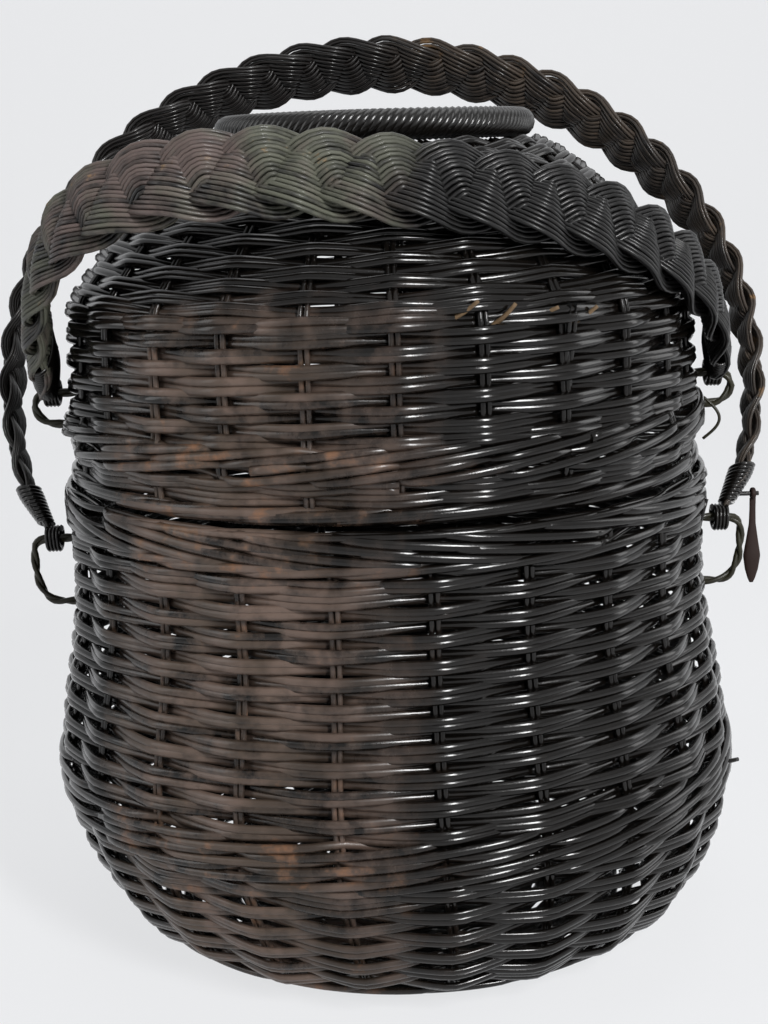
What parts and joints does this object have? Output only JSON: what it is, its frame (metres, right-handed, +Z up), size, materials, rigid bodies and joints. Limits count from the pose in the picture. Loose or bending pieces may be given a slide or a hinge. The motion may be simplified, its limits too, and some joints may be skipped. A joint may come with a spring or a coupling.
{
  "type": "wicker fishing creel",
  "caption": "Round bulging wicker creel with a domed lid hinged at the back, a wide plaited lid handle and a plaited carrying handle hung in withy rings.",
  "frame": {"origin": "on the floor under the middle of the basket, at the bottom centre of the bounding box", "axes": "+Z up, -Y the front, +Y the hinge side, +X to the right seen from the front"},
  "size_m": [0.4066, 0.3537, 0.456],
  "materials": {
    "side_weave": "black-stained round willow rods, varnished, worn brown in places",
    "wales": "black-stained willow, varnished, rubbed to tan on the ridges",
    "borders": "black-stained willow, varnished",
    "stakes": "black-stained willow, varnished",
    "base_willow": "dark stained willow, dull",
    "carrying_plait": "black-stained fine rods, satin",
    "lid_plait": "fine rods, stain faded to grey-green on one side, black on the other, satin",
    "bindings": "black split-willow binding",
    "withies": "twisted olive-black withy",
    "peg_wood": "dark reddish-brown wood, matt"
  },
  "bodies": {
    "basket": {"base_sticks": "base_willow", "base_weave": "base_willow", "upsett_wale": "wales", "lower_side_weave": "side_weave", "bulge_wale": "wales", "upper_side_weave": "side_weave", "neck_wale": "wales", "body_border": "borders", "body_stakes": "stakes", "hinge_loops": "withies", "handle_ring_left": "withies", "handle_ring_right": "withies"},
    "lid": {"lid_rim_border": "borders", "lid_skirt_weave": "side_weave", "lid_wale": "wales", "lid_side_weave": "side_weave", "lid_dome_weave": "side_weave", "lid_crown_border": "borders", "lid_crown_weave": "side_weave", "lid_stakes": "stakes", "lid_hinge_bar": "withies", "lid_ring_left": "withies", "lid_ring_right": "withies"},
    "carrying_handle": {"handle_strand_a": "carrying_plait", "handle_strand_b": "carrying_plait", "handle_strand_c": "carrying_plait", "handle_eye_left": "bindings", "handle_eye_right": "bindings"},
    "lid_handle": {"lid_handle_strand_a": "lid_plait", "lid_handle_strand_b": "lid_plait", "lid_handle_strand_c": "lid_plait", "lid_handle_eye_left": "bindings", "lid_handle_eye_right": "bindings"},
    "closing_peg": {"closing_peg": "peg_wood"}
  },
  "joints": [
    {"name": "lid_hinge", "type": "hinge", "parent": "basket", "child": "lid", "pos_m": [0, 0.171, 0.238], "axis": [-1, 0, 0], "range_deg": [0, 90]},
    {"name": "carrying_handle_swing", "type": "hinge", "parent": "basket", "child": "carrying_handle", "pos_m": [0, 0, 0.2], "axis": [-1, 0, 0], "range_deg": [0, 99]},
    {"name": "lid_handle_swing", "type": "hinge", "parent": "lid", "child": "lid_handle", "pos_m": [0, 0, 0.276], "axis": [-1, 0, 0], "range_deg": [0, 57]},
    {"name": "closing_peg_swing", "type": "hinge", "parent": "carrying_handle", "child": "closing_peg", "pos_m": [0.1915, 0.00507, 0.21088], "axis": [1, 0, 0], "range_deg": [0, 99]}
  ],
  "couplings": [
    {"joint": "carrying_handle_swing", "follows": "lid_hinge", "ratio": 1.1},
    {"joint": "closing_peg_swing", "follows": "lid_hinge", "ratio": 1.1}
  ]
}
